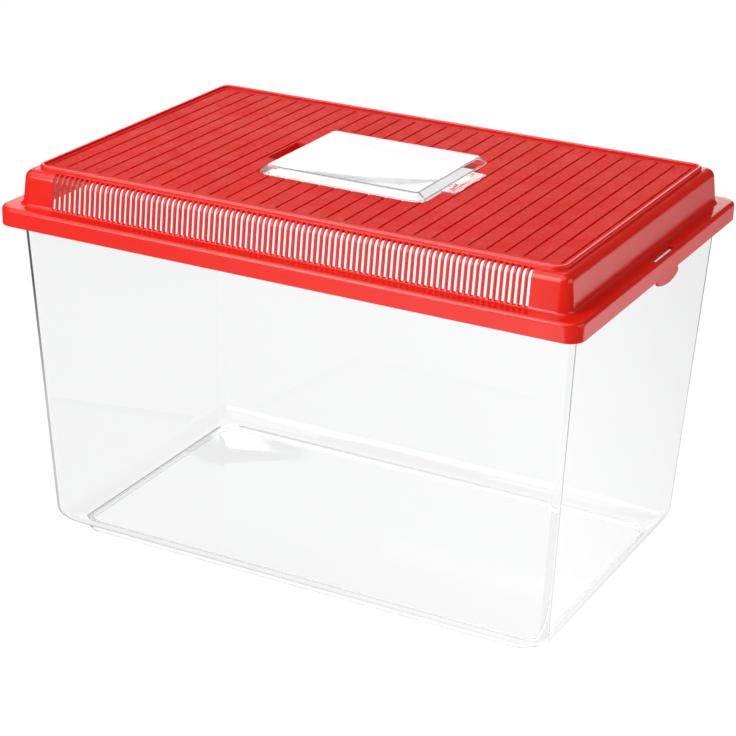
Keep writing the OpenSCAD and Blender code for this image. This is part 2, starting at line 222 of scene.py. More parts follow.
class Sweep:
    """A solid swept round an outline, ring by ring, which remembers its rings and stations."""

    def __init__(self, outline: Outline, levels: Sequence[Level], closed: bool) -> None:
        """Extrudes the first ring through every level.

        Args:
            outline: The outline that all rings follow.
            levels: The rings in order.
            closed: True joins the last ring to the first; False caps both ends.
        """
        self.outline, self.levels = outline, list(levels)
        self.ring = outline.stations()
        self.bm = bmesh.new()
        self.station = self.bm.verts.layers.int.new("station")
        self.level = self.bm.verts.layers.int.new("level")
        ring = bmesh.ops.create_circle(self.bm, cap_ends=False, radius=1.0, segments=len(self.ring))
        for number, vert in enumerate(ring["verts"]):
            vert[self.station] = number
            vert.co = outline.place(self.ring[number], self.levels[0])
        edges = list(self.bm.edges)
        first = edges
        for number, level in enumerate(self.levels[1:], 1):
            edges = self._extrude(edges, number, level)
        if closed:
            bmesh.ops.bridge_loops(self.bm, edges=first + edges)
        else:
            for loop in (first, edges):
                bmesh.ops.contextual_create(self.bm, geom=loop)
        bmesh.ops.recalc_face_normals(self.bm, faces=self.bm.faces)

    def _extrude(
        self, edges: list[bmesh.types.BMEdge], number: int, level: Level
    ) -> list[bmesh.types.BMEdge]:
        """Extrudes one ring to the next level.

        Args:
            edges: The edges of the ring that is extruded.
            number: The new ring's number.
            level: Where the new ring lies.

        Returns:
            The new ring's edges.
        """
        made = bmesh.ops.extrude_edge_only(self.bm, edges=edges)["geom"]
        for vert in (item for item in made if isinstance(item, bmesh.types.BMVert)):
            vert[self.level] = number
            vert.co = self.outline.place(self.ring[vert[self.station]], level)
        return [
            item
            for item in made
            if isinstance(item, bmesh.types.BMEdge) and all(v[self.level] == number for v in item.verts)
        ]

    def nearest(self, inset: float, height: float) -> int:
        """Finds the ring closest to a place in the section.

        Args:
            inset: The place's distance inwards from the outline.
            height: The place's height.

        Returns:
            The ring's number.
        """
        return min(
            range(len(self.levels)),
            key=lambda n: math.hypot(self.levels[n].inset - inset, self.levels[n].height - height),
        )

    def patch(
        self, side: Side, span: tuple[float, float], rings: tuple[int, int]
    ) -> list[bmesh.types.BMFace]:
        """The faces of one side between two marks and two rings.

        Args:
            side: The side of the outline.
            span: The lower and upper mark.
            rings: The lower and upper ring number.

        Returns:
            The faces inside that span.
        """
        chosen = []
        for face in self.bm.faces:
            if len(face.verts) != 4:
                continue
            numbers = [v[self.level] for v in face.verts]
            if min(numbers) < rings[0] or max(numbers) > rings[1] or max(numbers) - min(numbers) > 1:
                continue
            places = [self.ring[v[self.station]] for v in face.verts]
            if all(place[0] is side and not place[2] and between(place[1], span) for place in places):
                chosen.append(face)
        return chosen

    def punch(
        self,
        side: Side,
        spans: Sequence[tuple[float, float]],
        outer: tuple[int, int],
        inner: tuple[int, int],
    ) -> list[bmesh.types.BMEdge]:
        """Cuts holes through the wall and closes their sides.

        Args:
            side: The side of the outline that is cut.
            spans: The marks between which each hole lies.
            outer: Ring numbers of the hole on the outer skin.
            inner: Ring numbers of the hole on the inner skin.

        Returns:
            The holes' edges on the outer skin.
        """
        whole = (spans[0][0], spans[-1][1])
        skins = [self.patch(side, whole, rings) for rings in (outer, inner)]
        mouths: list[bmesh.types.BMEdge] = []
        for span in spans:
            rims: list[list[bmesh.types.BMEdge]] = []
            for faces in skins:
                valid = (f for f in faces if f.is_valid)
                inside = {f for f in valid if all(between(self.mark(v), span) for v in f.verts)}
                edges = {e for f in inside for e in f.edges}
                rims.append([e for e in edges if sum(f in inside for f in e.link_faces) == 1])
                bmesh.ops.delete(self.bm, geom=list(inside), context="FACES_KEEP_BOUNDARY")
            bmesh.ops.bridge_loops(self.bm, edges=rims[0] + rims[1])
            mouths += rims[0]
        return mouths

    def mark(self, vert: bmesh.types.BMVert) -> float:
        """A vertex's coordinate along its side, or its angle on a corner."""
        return self.ring[vert[self.station]][1]


def between(value: float, span: tuple[float, float]) -> bool:
    """True if a value lies between two marks."""
    return span[0] - MARK_SLACK <= value <= span[1] + MARK_SLACK


# ------------------------------------------------------------------ small solids and booleans


def block(low: Sequence[float], high: Sequence[float], edge: float = 0.0) -> bmesh.types.BMesh:
    """A box with rounded edges.

    Args:
        low: Its lowest corner, in millimetres.
        high: Its highest corner, in millimetres.
        edge: Radius of its edges.

    Returns:
        The box as a bmesh in metres.
    """
    bm = bmesh.new()
    lo, hi = Vector(low) * MM, Vector(high) * MM
    size = Matrix.Diagonal((*(hi - lo), 1.0))
    bmesh.ops.create_cube(bm, size=1.0, matrix=Matrix.Translation((lo + hi) / 2) @ size)
    if edge > 0:
        round_edges(bm, bm.edges, edge)
    return bm


def round_edges(
    bm: bmesh.types.BMesh, edges: Iterable[bmesh.types.BMEdge], radius: float, segments: int = 2
) -> None:
    """Rounds edges of a bmesh.

    Args:
        bm: The mesh.
        edges: The edges to round.
        radius: The width of the rounding, in millimetres.
        segments: Its segments.
    """
    bmesh.ops.bevel(
        bm,
        geom=list(edges),
        offset=radius * MM,
        segments=segments,
        profile=0.5,
        affect="EDGES",
        clamp_overlap=True,
        material=-1,
    )


def rod(centre: Sequence[float], radius: float, length: float, edge: float = 0.0) -> bmesh.types.BMesh:
    """A round bar along Y.

    Args:
        centre: Its middle, in millimetres.
        radius: Its radius.
        length: Its length.
        edge: Rounding of its two rims.

    Returns:
        The bar as a bmesh in metres.
    """
    bm = bmesh.new()
    turned = Matrix.Translation(Vector(centre) * MM) @ Matrix.Rotation(math.radians(90), 4, "X")
    bmesh.ops.create_cone(
        bm,
        cap_ends=True,
        segments=BAR_SEGMENTS,
        radius1=radius * MM,
        radius2=radius * MM,
        depth=length * MM,
        matrix=turned,
    )
    if edge > 0:
        rims = [e for e in bm.edges if any(len(f.verts) > 4 for f in e.link_faces)]
        round_edges(bm, rims, edge)
    return bm


def slab(width: float, depth: float, radius: float, low: float, high: float) -> bmesh.types.BMesh:
    """A plate about the Z axis with rounded upright corners.

    Args:
        width: Length along X, in millimetres.
        depth: Length along Y.
        radius: Radius of the upright corners.
        low: Height of the lower face.
        high: Height of the upper face.

    Returns:
        The plate as a bmesh in metres.
    """
    return Sweep(Outline(width, depth), [Level(0, low, radius), Level(0, high, radius)], closed=False).bm


def mesh_of(name: str, bm: bmesh.types.BMesh) -> bpy.types.Mesh:
    """Turns a bmesh into a mesh.

    Args:
        name: The mesh's name.
        bm: The bmesh, which is freed.

    Returns:
        The mesh.
    """
    mesh = bpy.data.meshes.new(name)
    bm.to_mesh(mesh)
    bm.free()
    return mesh


def add_object(name: str, data: bpy.types.ID) -> bpy.types.Object:
    """Makes an object and links it to the scene.

    Args:
        name: The object's name.
        data: Its mesh, light or camera.

    Returns:
        The object.
    """
    thing = bpy.data.objects.new(name, data)
    bpy.context.scene.collection.objects.link(thing)
    return thing


def gather(parts: Iterable[bmesh.types.BMesh]) -> bmesh.types.BMesh:
    """Puts several bmeshes that don't touch into one.

    Args:
        parts: The bmeshes, which are freed.

    Returns:
        All of them as one bmesh.
    """
    whole = bmesh.new()
    for part in parts:
        spare = mesh_of("spare", part)
        whole.from_mesh(spare)
        bpy.data.meshes.remove(spare)
    return whole


def combine(body: bmesh.types.BMesh, steps: Sequence[tuple[Cut, bmesh.types.BMesh]]) -> bmesh.types.BMesh:
    """Joins tool solids to a solid or carves them out of it.

    Args:
        body: The solid that is changed. It is freed.
        steps: The tools in order, each with what it does. They are freed.

    Returns:
        The finished solid.
    """
    solids = [body] + [tool for _, tool in steps]
    made = [add_object("solid", mesh_of("solid", bm)) for bm in solids]
    target = made[0]
    for (cut, _), tool in zip(steps, made[1:]):
        change = target.modifiers.new("cut", "BOOLEAN")
        change.operation = cut.value
        change.solver = "MANIFOLD"
        change.object = tool
    graph = bpy.context.evaluated_depsgraph_get()
    result = bmesh.new()
    result.from_mesh(target.evaluated_get(graph).to_mesh())
    for thing in made:
        mesh = thing.data
        bpy.data.objects.remove(thing)
        bpy.data.meshes.remove(mesh)
    bmesh.ops.remove_doubles(result, verts=result.verts, dist=POINT_SLACK)
    bmesh.ops.dissolve_degenerate(result, dist=POINT_SLACK, edges=result.edges)
    return result


# ------------------------------------------------------------------ finishes


class Graph:
    """A short way to write a material's node tree."""

    def __init__(self, name: str) -> None:
        """Makes an empty material with an output node.

        Args:
            name: The material's name.
        """
        self.material = bpy.data.materials.new(name)
        self.material.use_nodes = True
        self.tree = self.material.node_tree
        self.tree.nodes.clear()
        self.output = self.tree.nodes.new("ShaderNodeOutputMaterial")

    def feed(self, socket: bpy.types.NodeSocket, value: object) -> None:
        """Gives an input a value.

        Args:
            socket: The input.
            value: A plain value, or another node's output to link.
        """
        if isinstance(value, bpy.types.NodeSocket):
            self.tree.links.new(value, socket)
        else:
            socket.default_value = value

    def node(self, kind: str, **inputs: object) -> bpy.types.Node:
        """Adds a node.

        Args:
            kind: The node's type, such as "ShaderNodeBump".
            **inputs: Input sockets by name with _ for a space: a value, or a socket to link.

        Returns:
            The node.
        """
        node = self.tree.nodes.new(kind)
        for key, value in inputs.items():
            self.feed(node.inputs[key.replace("_", " ")], value)
        return node

    def listed(self, kind: str, *values: object, operation: str = "") -> bpy.types.Node:
        """Adds a node whose inputs share their names.

        Args:
            kind: The node's type, such as "ShaderNodeMath".
            *values: Its first inputs in order: a value, or a socket to link.
            operation: What it does, where its type has a choice of operations.

        Returns:
            The node.
        """
        node = self.tree.nodes.new(kind)
        if operation:
            node.operation = operation
        for socket, value in zip(node.inputs, values):
            self.feed(socket, value)
        return node

    def reckon(self, operation: str, *values: object, clamp: bool = False) -> bpy.types.NodeSocket:
        """Calculates with numbers.

        Args:
            operation: What is done, such as "MULTIPLY_ADD".
            *values: The numbers: a value, or a socket to link.
            clamp: True keeps the result between 0 and 1.

        Returns:
            The result.
        """
        node = self.listed("ShaderNodeMath", *values, operation=operation)
        node.use_clamp = clamp
        return node.outputs["Value"]

    def place(self) -> bpy.types.NodeSocket:
        """The piece's own coordinates, in metres."""
        return self.node("ShaderNodeTexCoord").outputs["Object"]

    def noise(self, scale: float, detail: float = 2.0, roughness: float = 0.5) -> bpy.types.NodeSocket:
        """Makes a noise on the piece.

        Args:
            scale: Its cells per metre.
            detail: How many finer layers it has.
            roughness: How strong the finer layers are.

        Returns:
            Its value from 0 to 1.
        """
        found = self.node(
            "ShaderNodeTexNoise", Vector=self.place(), Scale=scale, Detail=detail, Roughness=roughness
        )
        return found.outputs["Fac"]

    def spread(
        self,
        source: bpy.types.NodeSocket,
        low: float,
        high: float,
        start: float = NOISE_LOW,
        end: float = NOISE_HIGH,
    ) -> bpy.types.NodeSocket:
        """Maps a value to another range.

        Args:
            source: The value.
            low: What it becomes at start and below.
            high: What it becomes at end and above.
            start: Where its range starts, by default a noise's.
            end: Where its range ends.

        Returns:
            The new value.
        """
        node = self.node(
            "ShaderNodeMapRange", Value=source, From_Min=start, From_Max=end, To_Min=low, To_Max=high
        )
        return node.outputs["Result"]

    def blend(
        self, fac: bpy.types.NodeSocket, stops: Sequence[tuple[float, Colour]]
    ) -> bpy.types.NodeSocket:
        """Maps a value to colours.

        Args:
            fac: The value, from 0 to 1.
            stops: Two or more places in that range, in order, each with its colour.

        Returns:
            The colour.
        """
        ramp = self.node("ShaderNodeValToRGB", Fac=fac)
        elements = ramp.color_ramp.elements
        while len(elements) < len(stops):
            elements.new(0.5)
        for element, (position, colour) in zip(elements, stops):
            element.position = position
            element.color = (*colour, 1.0)
        return ramp.outputs["Color"]

    def shade(self, colour: bpy.types.NodeSocket, share: bpy.types.NodeSocket) -> bpy.types.NodeSocket:
        """Makes a colour darker.

        Args:
            colour: The colour.
            share: How much of it is left.

        Returns:
            The darker colour.
        """
        scaled = self.listed("ShaderNodeVectorMath", colour, operation="SCALE")
        self.feed(scaled.inputs["Scale"], share)
        return scaled.outputs["Vector"]

    def mix(
        self, share: bpy.types.NodeSocket, first: bpy.types.NodeSocket, second: bpy.types.NodeSocket
    ) -> bpy.types.NodeSocket:
        """A blend of two shaders, with more of the second as the share rises from 0 to 1."""
        return self.listed("ShaderNodeMixShader", share, first, second).outputs["Shader"]

    def finish(self, surface: bpy.types.NodeSocket) -> bpy.types.Material:
        """Links a shader to the output and returns the material."""
        self.tree.links.new(surface, self.output.inputs["Surface"])
        return self.material


@dataclass(frozen=True)
class RedPlastic:
    """Opaque red injection-moulded plastic.

    Attributes:
        colour: The plastic's main colour.
        drift: The colour that it drifts to where the melt flowed differently.
        gloss: Lowest and highest roughness.
        shine: How strongly the surface mirrors, with 0.5 for plain smooth plastic.
        mottle: How much darker the hollows of the grain are, as a share.
        grain: Cells of the moulded grain per metre.
        grain_height: Height of that grain, in millimetres.
        ripple_height: Height of the slow unevenness of the surface, in millimetres.
        ior: Index of refraction.
        drift_scale: Cells per metre of the drift.
        mottle_scale: Cells per metre of the mottle, as a share of the grain's.
        gloss_scale: Cells per metre of the uneven gloss.
        ripple_scale: Cells per metre of the slow unevenness.
    """

    colour: Colour = (0.82, 0.016, 0.005)
    drift: Colour = (0.78, 0.010, 0.004)
    gloss: tuple[float, float] = (0.14, 0.22)
    shine: float = 0.5
    mottle: float = 0.03
    grain: float = 1500.0
    grain_height: float = 0.004
    ripple_height: float = 0.02
    ior: float = 1.5
    drift_scale: float = 14.0
    mottle_scale: float = 0.4
    gloss_scale: float = 55.0
    ripple_scale: float = 30.0

    def build(self, name: str) -> bpy.types.Material:
        """Makes the material.

        Args:
            name: The material's name.

        Returns:
            The material.
        """
        g = Graph(name)
        stops = ((NOISE_LOW, self.colour), (NOISE_HIGH, self.drift))
        hollows = g.noise(self.grain * self.mottle_scale, 3.0, 0.65)
        colour = g.blend(g.noise(self.drift_scale, 3.0), stops)
        colour = g.shade(colour, g.spread(hollows, 1.0 - self.mottle, 1.0))
        rough = g.spread(g.noise(self.gloss_scale, 4.0), *self.gloss)
        grain = g.noise(self.grain, 3.0, 0.6)
        fine = g.node("ShaderNodeBump", Height=grain, Distance=self.grain_height * MM)
        wavy = g.node(
            "ShaderNodeBump",
            Height=g.noise(self.ripple_scale, 1.0),
            Distance=self.ripple_height * MM,
            Normal=fine.outputs["Normal"],
        )
        shader = g.node(
            "ShaderNodeBsdfPrincipled",
            Base_Color=colour,
            Roughness=rough,
            IOR=self.ior,
            Specular_IOR_Level=self.shine,
            Normal=wavy.outputs["Normal"],
        )
        return g.finish(shader.outputs["BSDF"])


@dataclass(frozen=True)
class ClearPlastic:
    """Clear moulded polystyrene.

    Attributes:
        tint: The colour that the clear plastic gives to what is seen through it.
        gloss: Lowest and highest roughness.
        ior: Index of refraction.
        ripple_height: Height of the slow unevenness of the walls, in millimetres.
        shadow: The colour that light takes on when it casts the plastic's shadow.
        painted_edge_greys: Painted edge shade: greys that the plastic glows with in place of light after
            many bounces, at the lower and the upper height below, so darker higher up.
        heights: Those heights, in metres.
        painted_grey_after: Bounces after which the painted edge grey takes the place of the plastic.
        mirror_weight: Bounces that a mirrored one counts for beyond its own.
        gloss_scale: Cells per metre of the uneven gloss.
        ripple_scale: Cells per metre of the slow unevenness.
    """

    tint: Colour = (0.966, 0.968, 0.971)
    gloss: tuple[float, float] = (0.0, 0.03)
    ior: float = 1.5
    ripple_height: float = 0.015
    shadow: Colour = (0.93, 0.94, 0.95)
    painted_edge_greys: tuple[float, float] = (0.62, 0.10)
    heights: tuple[float, float] = (0.10, 0.20)
    painted_grey_after: float = 7.5
    mirror_weight: float = 2.0
    gloss_scale: float = 40.0
    ripple_scale: float = 16.0

    def build(self, name: str) -> bpy.types.Material:
        """Makes the material, which lets light through to what stands behind and under it, and glows a
        painted grey for edge shade where light has bounced long inside it.

        Args:
            name: The material's name.

        Returns:
            The material.
        """
        g = Graph(name)
        rough = g.spread(g.noise(self.gloss_scale, 3.0), *self.gloss)
        ripple = g.noise(self.ripple_scale, 1.0)
        wavy = g.node("ShaderNodeBump", Height=ripple, Distance=self.ripple_height * MM)
        shader = g.node(
            "ShaderNodeBsdfPrincipled",
            Base_Color=(*self.tint, 1.0),
            Roughness=rough,
            IOR=self.ior,
            Transmission_Weight=1.0,
            Normal=wavy.outputs["Normal"],
        )
        # Painted edge shade: past a number of bounces the plastic glows a fixed grey, darker higher up,
        # instead of passing light on.
        path = g.node("ShaderNodeLightPath")
        turns = g.reckon(
            "MULTIPLY_ADD", path.outputs["Glossy Depth"], self.mirror_weight, path.outputs["Ray Depth"]
        )
        painted_edge_mask = g.reckon("GREATER_THAN", turns, self.painted_grey_after)
        height = g.node("ShaderNodeSeparateXYZ", Vector=g.place()).outputs["Z"]
        grey = g.node("ShaderNodeEmission", Strength=g.spread(height, *self.painted_edge_greys, *self.heights))
        surface = g.mix(painted_edge_mask, shader.outputs["BSDF"], grey.outputs["Emission"])
        through = g.node("ShaderNodeBsdfTransparent", Color=(*self.shadow, 1.0))
        return g.finish(g.mix(path.outputs["Is Shadow Ray"], surface, through.outputs["BSDF"]))


@dataclass(frozen=True)
class TableTop:
    """The plain pale floor.

    Attributes:
        colour: Its colour.
        glow: Light that it gives off by itself, which keeps it pale under the object.
        mirror_side: Horizontal direction in which the floor changes that the object mirrors.
        mirror_range: Distances along it, in metres, at which the ramp below starts and ends.
        mirror_ramp: Places within that range and the light that the object mirrors there.
        roughness: Its roughness.
    """

    colour: Colour = (0.03, 0.03, 0.03)
    glow: float = 1.0
    mirror_side: tuple[float, float, float] = (0.866, -0.5, 0.0)
    mirror_range: tuple[float, float] = (-0.4, 0.7)
    mirror_ramp: tuple[tuple[float, float], ...] = (
        (0.05, 0.05),
        (0.2, 0.3),
        (0.42, 0.7),
        (0.7, 1.7),
        (0.82, 1.7),
        (0.9, 0.0),
    )
    roughness: float = 0.9

    def mirrored(self, g: Graph) -> bpy.types.NodeSocket:
        """Makes the light that the object's gloss sees, which rises along mirror_side and then ends.

        Args:
            g: The floor's material.

        Returns:
            The light.
        """
        along = g.listed("ShaderNodeVectorMath", g.place(), self.mirror_side, operation="DOT_PRODUCT")
        fac = g.spread(along.outputs["Value"], 0.0, 1.0, *self.mirror_range)
        return g.blend(fac, [(position, (light, light, light)) for position, light in self.mirror_ramp])

    def build(self, name: str) -> bpy.types.Material:
        """Makes the material. Only mirrored light differs from place to place.

        Args:
            name: The material's name.

        Returns:
            The material.
        """
        g = Graph(name)
        path = g.node("ShaderNodeLightPath")
        mirrors = g.reckon(
            "SUBTRACT", path.outputs["Is Glossy Ray"], path.outputs["Is Transmission Ray"], clamp=True
        )
        strength = g.node("ShaderNodeMix", Factor=mirrors, A=self.glow, B=self.mirrored(g))
        shader = g.node(
            "ShaderNodeBsdfPrincipled",
            Base_Color=(*self.colour, 1.0),
            Roughness=self.roughness,
            Specular_IOR_Level=0.0,
            Emission_Color=(1.0, 1.0, 1.0, 1.0),
            Emission_Strength=strength.outputs["Result"],
        )
        return g.finish(shader.outputs["BSDF"])


# ------------------------------------------------------------------ pieces


def add_piece(
    name: str,
    bm: bmesh.types.BMesh,
    material: bpy.types.Material,
    body: str,
    smooth_angle: float = 35.0,
) -> bpy.types.Object:
    """Turns a bmesh into a shown piece of the object.

    Args:
        name: The piece's name.
        bm: Its mesh, which is freed.
        material: Its finish.
        body: The body that it moves with, which is also the node that it stands for.
        smooth_angle: Edges sharper than this many degrees stay crisp.

    Returns:
        The piece.
    """
    mesh = mesh_of(name, bm)
    for layer in ("station", "level"):
        if layer in mesh.attributes:
            mesh.attributes.remove(mesh.attributes[layer])
    mesh.shade_smooth()
    mesh.set_sharp_from_angle(angle=math.radians(smooth_angle))
    mesh.materials.append(material)
    piece = add_object(name, mesh)
    normals = piece.modifiers.new("flat_faces_stay_flat", "WEIGHTED_NORMAL")
    normals.keep_sharp = True
    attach(piece, body)
    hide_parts(body)
    LOG.info("%s: %d faces on body %s", name, len(mesh.polygons), body)
    return piece


@dataclass
class Tub:
    """The clear tub: drafted walls, a round base on a foot ring, and a turned-down brim.

    Attributes:
        base_width: Length of the walls' outline at the foot, before the base is rounded.
        base_depth: Depth of that outline.
        draft: Angle by which the walls lean outwards, in degrees.
        wall: Thickness of the walls.
        floor: Thickness of the floor.
        edge_radius: Radius of the upright edges.
        edge_growth: How much that radius grows per unit inwards, round the base.
        base_radius: Radius of the round edge between the base and the walls.
        foot_height: Height of the foot ring.
        foot_inset: Distance of the ring's outer face inside the outline.
        foot_width: Thickness of the ring.
        foot_corner: Radius of the ring's corners.
        height: Height of the brim's top.
        brim_width: Length over the brim.
        brim: Thickness of the brim.
        brim_drop: How far the brim's edge turns down below it.
        brim_corner: Radius of the brim's corners.
        finish: The tub's plastic.
    """

    base_width: float = 414.56
    base_depth: float = 245.16
    draft: float = 2.85
    wall: float = 2.4
    floor: float = 2.8
    edge_radius: float = 5.0
    edge_growth: float = 0.8
    base_radius: float = 16.0
    foot_height: float = 4.5
    foot_inset: float = 12.6
    foot_width: float = 3.0
    foot_corner: float = 19.0
    height: float = 268.0
    brim_width: float = 453.6
    brim: float = 2.2
    brim_drop: float = 4.0
    brim_corner: float = 8.8
    finish: ClearPlastic = field(default_factory=ClearPlastic)

    def slope(self) -> float:
        """How far a wall leans outwards per unit of height."""
        return math.tan(math.radians(self.draft))

    def base_round(
        self, radius: float, wall: float, bottom: float, first: float, steps: int = 8
    ) -> list[Corner]:
        """The round edge between the base and a wall.

        Args:
            radius: The edge's radius.
            wall: How far the surface lies inside the tub's outer face.
            bottom: Height of the flat that the edge starts from.
            first: Angle at which it starts, in degrees.
            steps: Segments.

        Returns:
            Plain corners from the flat up to the wall.
        """
        found = []
        for n in range(steps + 1):
            angle = math.radians(first + (90 - first) * n / steps)
            rise, inset = radius * (1 - math.cos(angle)), radius * (1 - math.sin(angle))
            corner = self.edge_radius - wall / 2 + self.edge_growth * inset
            found.append(Corner(inset + wall - rise * self.slope(), bottom + rise, corner))
        return found

    def section(self) -> list[Corner]:
        """Draws the wall's section.

        Returns:
            Its corners, from the middle of the underside round the brim to the inside floor.
        """
        ring_in = self.foot_inset + self.foot_width
        ring_corner = self.foot_corner - self.foot_width
        lean = self.slope()
        brim_out = -(self.brim_width - self.base_width) / 2
        brim_low = self.height - self.brim
        lip_low = brim_low - self.brim_drop
        outer_top = -(brim_low - self.foot_height) * lean
        inner_top = self.wall - (self.height - self.foot_height) * lean
        start = math.degrees(math.asin(1 - self.foot_inset / self.base_radius))
        lip_corner = self.brim_corner - self.brim
        upright = self.edge_radius
        inside = self.foot_height + self.floor
        return [
            Corner(3 * ring_in, self.foot_height, ring_corner),
            Corner(ring_in, self.foot_height, ring_corner, 0.6),
            Corner(ring_in, 0, ring_corner, 0.6),
            Corner(self.foot_inset, 0, self.foot_corner, 0.6),
            *self.base_round(self.base_radius, 0, self.foot_height, start),
            Corner(outer_top, brim_low, upright, 1.0, growth=0.0),
            Corner(brim_out + self.brim, brim_low, lip_corner, 0.6),
            Corner(brim_out + self.brim, lip_low, lip_corner, 0.5),
            Corner(brim_out, lip_low, self.brim_corner, 0.8),
            Corner(brim_out, self.height, self.brim_corner, 1.0, 4),
            Corner(inner_top, self.height, upright - self.wall / 2, 0.9, 4, 0.0),
            *reversed(self.base_round(self.base_radius - self.wall, self.wall, inside, 0.0)),
            Corner(3 * ring_in, inside, ring_corner),
        ]

    def build(self) -> list[bpy.types.Object]:
        """Makes the tub.

        Returns:
            Its one piece.
        """
        outline = Outline(self.base_width, self.base_depth, corner_steps=12)
        shell = Sweep(outline, section(self.section(), closed=False), closed=False)
        finish = self.finish.build("clear_tub_plastic")
        return [add_piece("tub_shell", shell.bm, finish, "tub")]


@dataclass
class EndClip:
    """The clip at an end of the lid: a leaning arched tongue under a window.

    Attributes:
        width: Length of the tongue along the end.
        drop: How far its ends hang below the skirt.
        sag: How much further its middle hangs.
        flare: How far it leans outwards.
        centre: Y of its middle.
        root_radius: Radius between the tongue and the skirt's edge.
        tip_bevel: Bevel of the tongue's ends.
        window_length: Length of the window in the ledge above it.
        window_width: Width of the window.
        ridge: Reach and height of the ridge inside the skirt.
        curve_marks: Distances from its middle at which the tongue's curve is divided.
        tip_marks: Distances from its end at which the tongue's curve is divided.
        tip_slack: Distance from its end up to which the curve holds.
    """

    width: float = 38.7
    drop: float = 3.2
    sag: float = 2.8
    flare: float = 1.8
    centre: float = 6.1
    root_radius: float = 2.0
    tip_bevel: float = 0.3
    window_length: float = 35.6
    window_width: float = 4.2
    ridge: tuple[float, float] = (0.7, 2.0)
    curve_marks: tuple[float, ...] = (0.0, 4.0, 8.0, 12.0, 15.5, 18.6)
    tip_marks: tuple[float, ...] = (0.25, 0.01, 0.0)
    tip_slack: float = 0.005

    def marks(self) -> tuple[float, ...]:
        """Finds where the rings of the lid need points along an end for the tongue and the window.

        Returns:
            The places' Y, in order.
        """
        half = self.width / 2
        offsets = [*self.curve_marks, self.window_length / 2, *(half - mark for mark in self.tip_marks)]
        offsets += [half + self.root_radius * (1 - math.cos(math.radians(a))) for a in (30, 60, 90)]
        return tuple(sorted({self.centre + sign * offset for offset in offsets for sign in (-1, 1)}))

    def depth(self, y: float) -> float:
        """Finds how far the tongue hangs below the skirt.

        Args:
            y: A place along the end.

        Returns:
            The depth there, or 0 beside the tongue.
        """
        away, half = abs(y - self.centre), self.width / 2
        arch = (half * half + self.sag * self.sag) / (2 * self.sag)
        if away < half - self.tip_slack:
            curve = self.sag - arch + math.sqrt(arch * arch - away * away)
            corner = max(0.0, away - half + self.tip_bevel)
            return self.drop + curve - corner
        if away < half + self.root_radius:
            across = 1 - (away - half) / self.root_radius
            return self.root_radius * (1 - math.sqrt(max(0.0, 1 - across * across)))
        return 0.0


